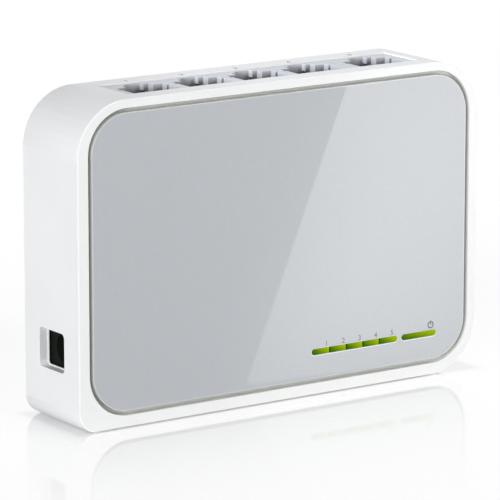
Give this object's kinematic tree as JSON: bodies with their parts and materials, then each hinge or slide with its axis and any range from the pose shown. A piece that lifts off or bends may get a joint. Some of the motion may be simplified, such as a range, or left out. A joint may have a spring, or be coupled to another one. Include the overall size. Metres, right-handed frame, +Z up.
{
  "type": "desktop network switch",
  "caption": "Desktop network switch in a white case with a grey front panel, standing on its long edge, with a row of network ports on top, status lights and an end power socket.",
  "frame": {"origin": "middle of the underside of the standing case, centred on its overall depth", "axes": "+Z up towards the ports, -Y out of the grey front panel, +X to the right seen from the front"},
  "size_m": [0.1036, 0.022, 0.07],
  "materials": {
    "white_plastic": "fine satin",
    "grey_panel": "gloss",
    "tape": "matte",
    "green_window": "lit translucent",
    "white_print": "matte",
    "clear_plastic": "clear",
    "foot_rubber": "matte",
    "screw_steel": "zinc plated",
    "board_laminate": "solder mask",
    "jack_plastic": "satin",
    "contact_metal": "gold plated",
    "insert_plastic": "matte",
    "tinned_metal": "tinned",
    "black_plastic": "moulded",
    "led_resin": "clear resin",
    "chip_resin": "moulded resin",
    "ferrite": "pressed ferrite",
    "capacitor_can": "bare can",
    "ceramic": "ceramic"
  },
  "bodies": {
    "switch": {"case_shell": "white_plastic", "back_cover": "white_plastic", "face_panel": "grey_panel", "panel_tape": "tape", "port_light_windows": "green_window", "power_light_window": "green_window", "light_frames": "white_print", "light_guide": "clear_plastic", "rubber_feet": "foot_rubber", "case_screws": "screw_steel", "circuit_board": "board_laminate", "jack_block_quad": "jack_plastic", "jack_block_single": "jack_plastic", "contact_inserts": "insert_plastic", "jack_solder_pins": "tinned_metal", "dc_terminals": "tinned_metal", "dc_center_pin": "tinned_metal", "crystal": "tinned_metal", "dc_jack_body": "black_plastic", "port_leds": "led_resin", "power_led": "led_resin", "switch_chip": "chip_resin", "line_transformers": "chip_resin", "voltage_regulator": "chip_resin", "protection_diode": "chip_resin", "chip_resistors": "chip_resin", "power_inductor": "ferrite", "electrolytic_capacitors": "capacitor_can", "chip_capacitors": "ceramic"},
    "port_1_springs": {"port_1_contacts": "contact_metal"},
    "port_2_springs": {"port_2_contacts": "contact_metal"},
    "port_3_springs": {"port_3_contacts": "contact_metal"},
    "port_4_springs": {"port_4_contacts": "contact_metal"},
    "port_5_springs": {"port_5_contacts": "contact_metal"},
    "power_spring": {"dc_leaf": "contact_metal"}
  },
  "joints": [
    {"name": "port_1_contact_flex", "type": "hinge", "parent": "switch", "child": "port_1_springs", "pos_m": [-0.02807, -0.00545, 0.0669], "axis": [1, 0, 0], "range_deg": [-8, 0], "stiffness_Nm_per_rad": 0.3},
    {"name": "port_2_contact_flex", "type": "hinge", "parent": "switch", "child": "port_2_springs", "pos_m": [-0.01408, -0.00545, 0.0669], "axis": [1, 0, 0], "range_deg": [-8, 0], "stiffness_Nm_per_rad": 0.3},
    {"name": "port_3_contact_flex", "type": "hinge", "parent": "switch", "child": "port_3_springs", "pos_m": [-0.00007, -0.00545, 0.0669], "axis": [1, 0, 0], "range_deg": [-8, 0], "stiffness_Nm_per_rad": 0.3},
    {"name": "port_4_contact_flex", "type": "hinge", "parent": "switch", "child": "port_4_springs", "pos_m": [0.01392, -0.00545, 0.0669], "axis": [1, 0, 0], "range_deg": [-8, 0], "stiffness_Nm_per_rad": 0.3},
    {"name": "port_5_contact_flex", "type": "hinge", "parent": "switch", "child": "port_5_springs", "pos_m": [0.03037, -0.00545, 0.0669], "axis": [1, 0, 0], "range_deg": [-8, 0], "stiffness_Nm_per_rad": 0.3},
    {"name": "power_contact_flex", "type": "hinge", "parent": "switch", "child": "power_spring", "pos_m": [-0.03585, -0.00415, 0.01615], "axis": [0, 0, 1], "range_deg": [0, 4], "stiffness_Nm_per_rad": 0.3}
  ]
}
